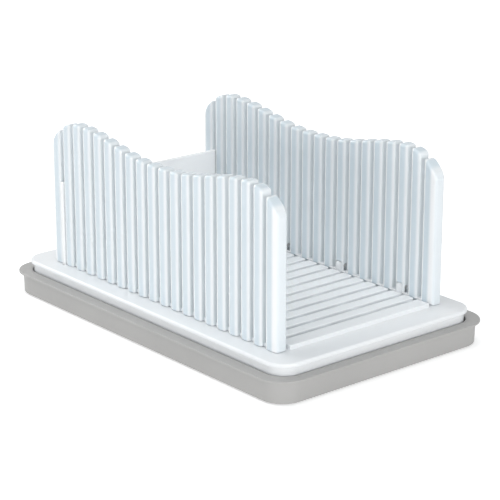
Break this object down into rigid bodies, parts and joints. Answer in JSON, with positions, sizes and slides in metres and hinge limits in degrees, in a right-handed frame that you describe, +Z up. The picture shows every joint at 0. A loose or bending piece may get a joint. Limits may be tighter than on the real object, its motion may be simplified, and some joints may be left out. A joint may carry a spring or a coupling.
{
  "type": "bread slicer guide",
  "caption": "Folding slicing guide: two slotted comb walls with wavy tops on a board, a back stop plate and a crumb tray with a wide rim.",
  "frame": {"origin": "on the surface it stands on, below the middle of the crumb tray", "axes": "+Z up, +Y towards the rear where the back stop stands, +X to the right wall"},
  "size_m": [0.197, 0.3138, 0.137],
  "materials": {
    "white_plastic": "smooth moulded, slightly glossy",
    "grey_plastic": "smooth moulded, satin",
    "foot_rubber": "matt",
    "pin_steel": "ground"
  },
  "bodies": {
    "tray": {"crumb_tray": "grey_plastic", "rubber_foot_1": "foot_rubber", "rubber_foot_2": "foot_rubber", "rubber_foot_3": "foot_rubber", "rubber_foot_4": "foot_rubber"},
    "board": {"base_board": "white_plastic", "left_hinge_pin_1": "pin_steel", "left_hinge_pin_2": "pin_steel", "left_hinge_pin_3": "pin_steel", "left_hinge_pin_4": "pin_steel", "right_hinge_pin_1": "pin_steel", "right_hinge_pin_2": "pin_steel", "right_hinge_pin_3": "pin_steel", "right_hinge_pin_4": "pin_steel"},
    "left_wall": {"left_comb_wall": "white_plastic"},
    "right_wall": {"right_comb_wall": "white_plastic"},
    "stop": {"back_stop": "white_plastic"}
  },
  "joints": [
    {"name": "board_lift", "type": "slide", "parent": "tray", "child": "board", "axis": [0, 0, 1], "range_m": [0, 0.04]},
    {"name": "left_wall_fold", "type": "hinge", "parent": "board", "child": "left_wall", "pos_m": [-0.0694, 0, 0.04326], "axis": [0, 1, 0], "range_deg": [0, 90]},
    {"name": "right_wall_fold", "type": "hinge", "parent": "board", "child": "right_wall", "pos_m": [0.0694, 0, 0.0328], "axis": [0, -1, 0], "range_deg": [0, 90]},
    {"name": "back_stop_lift", "type": "slide", "parent": "board", "child": "stop", "axis": [0, 0, 1], "range_m": [0, 0.07]}
  ]
}
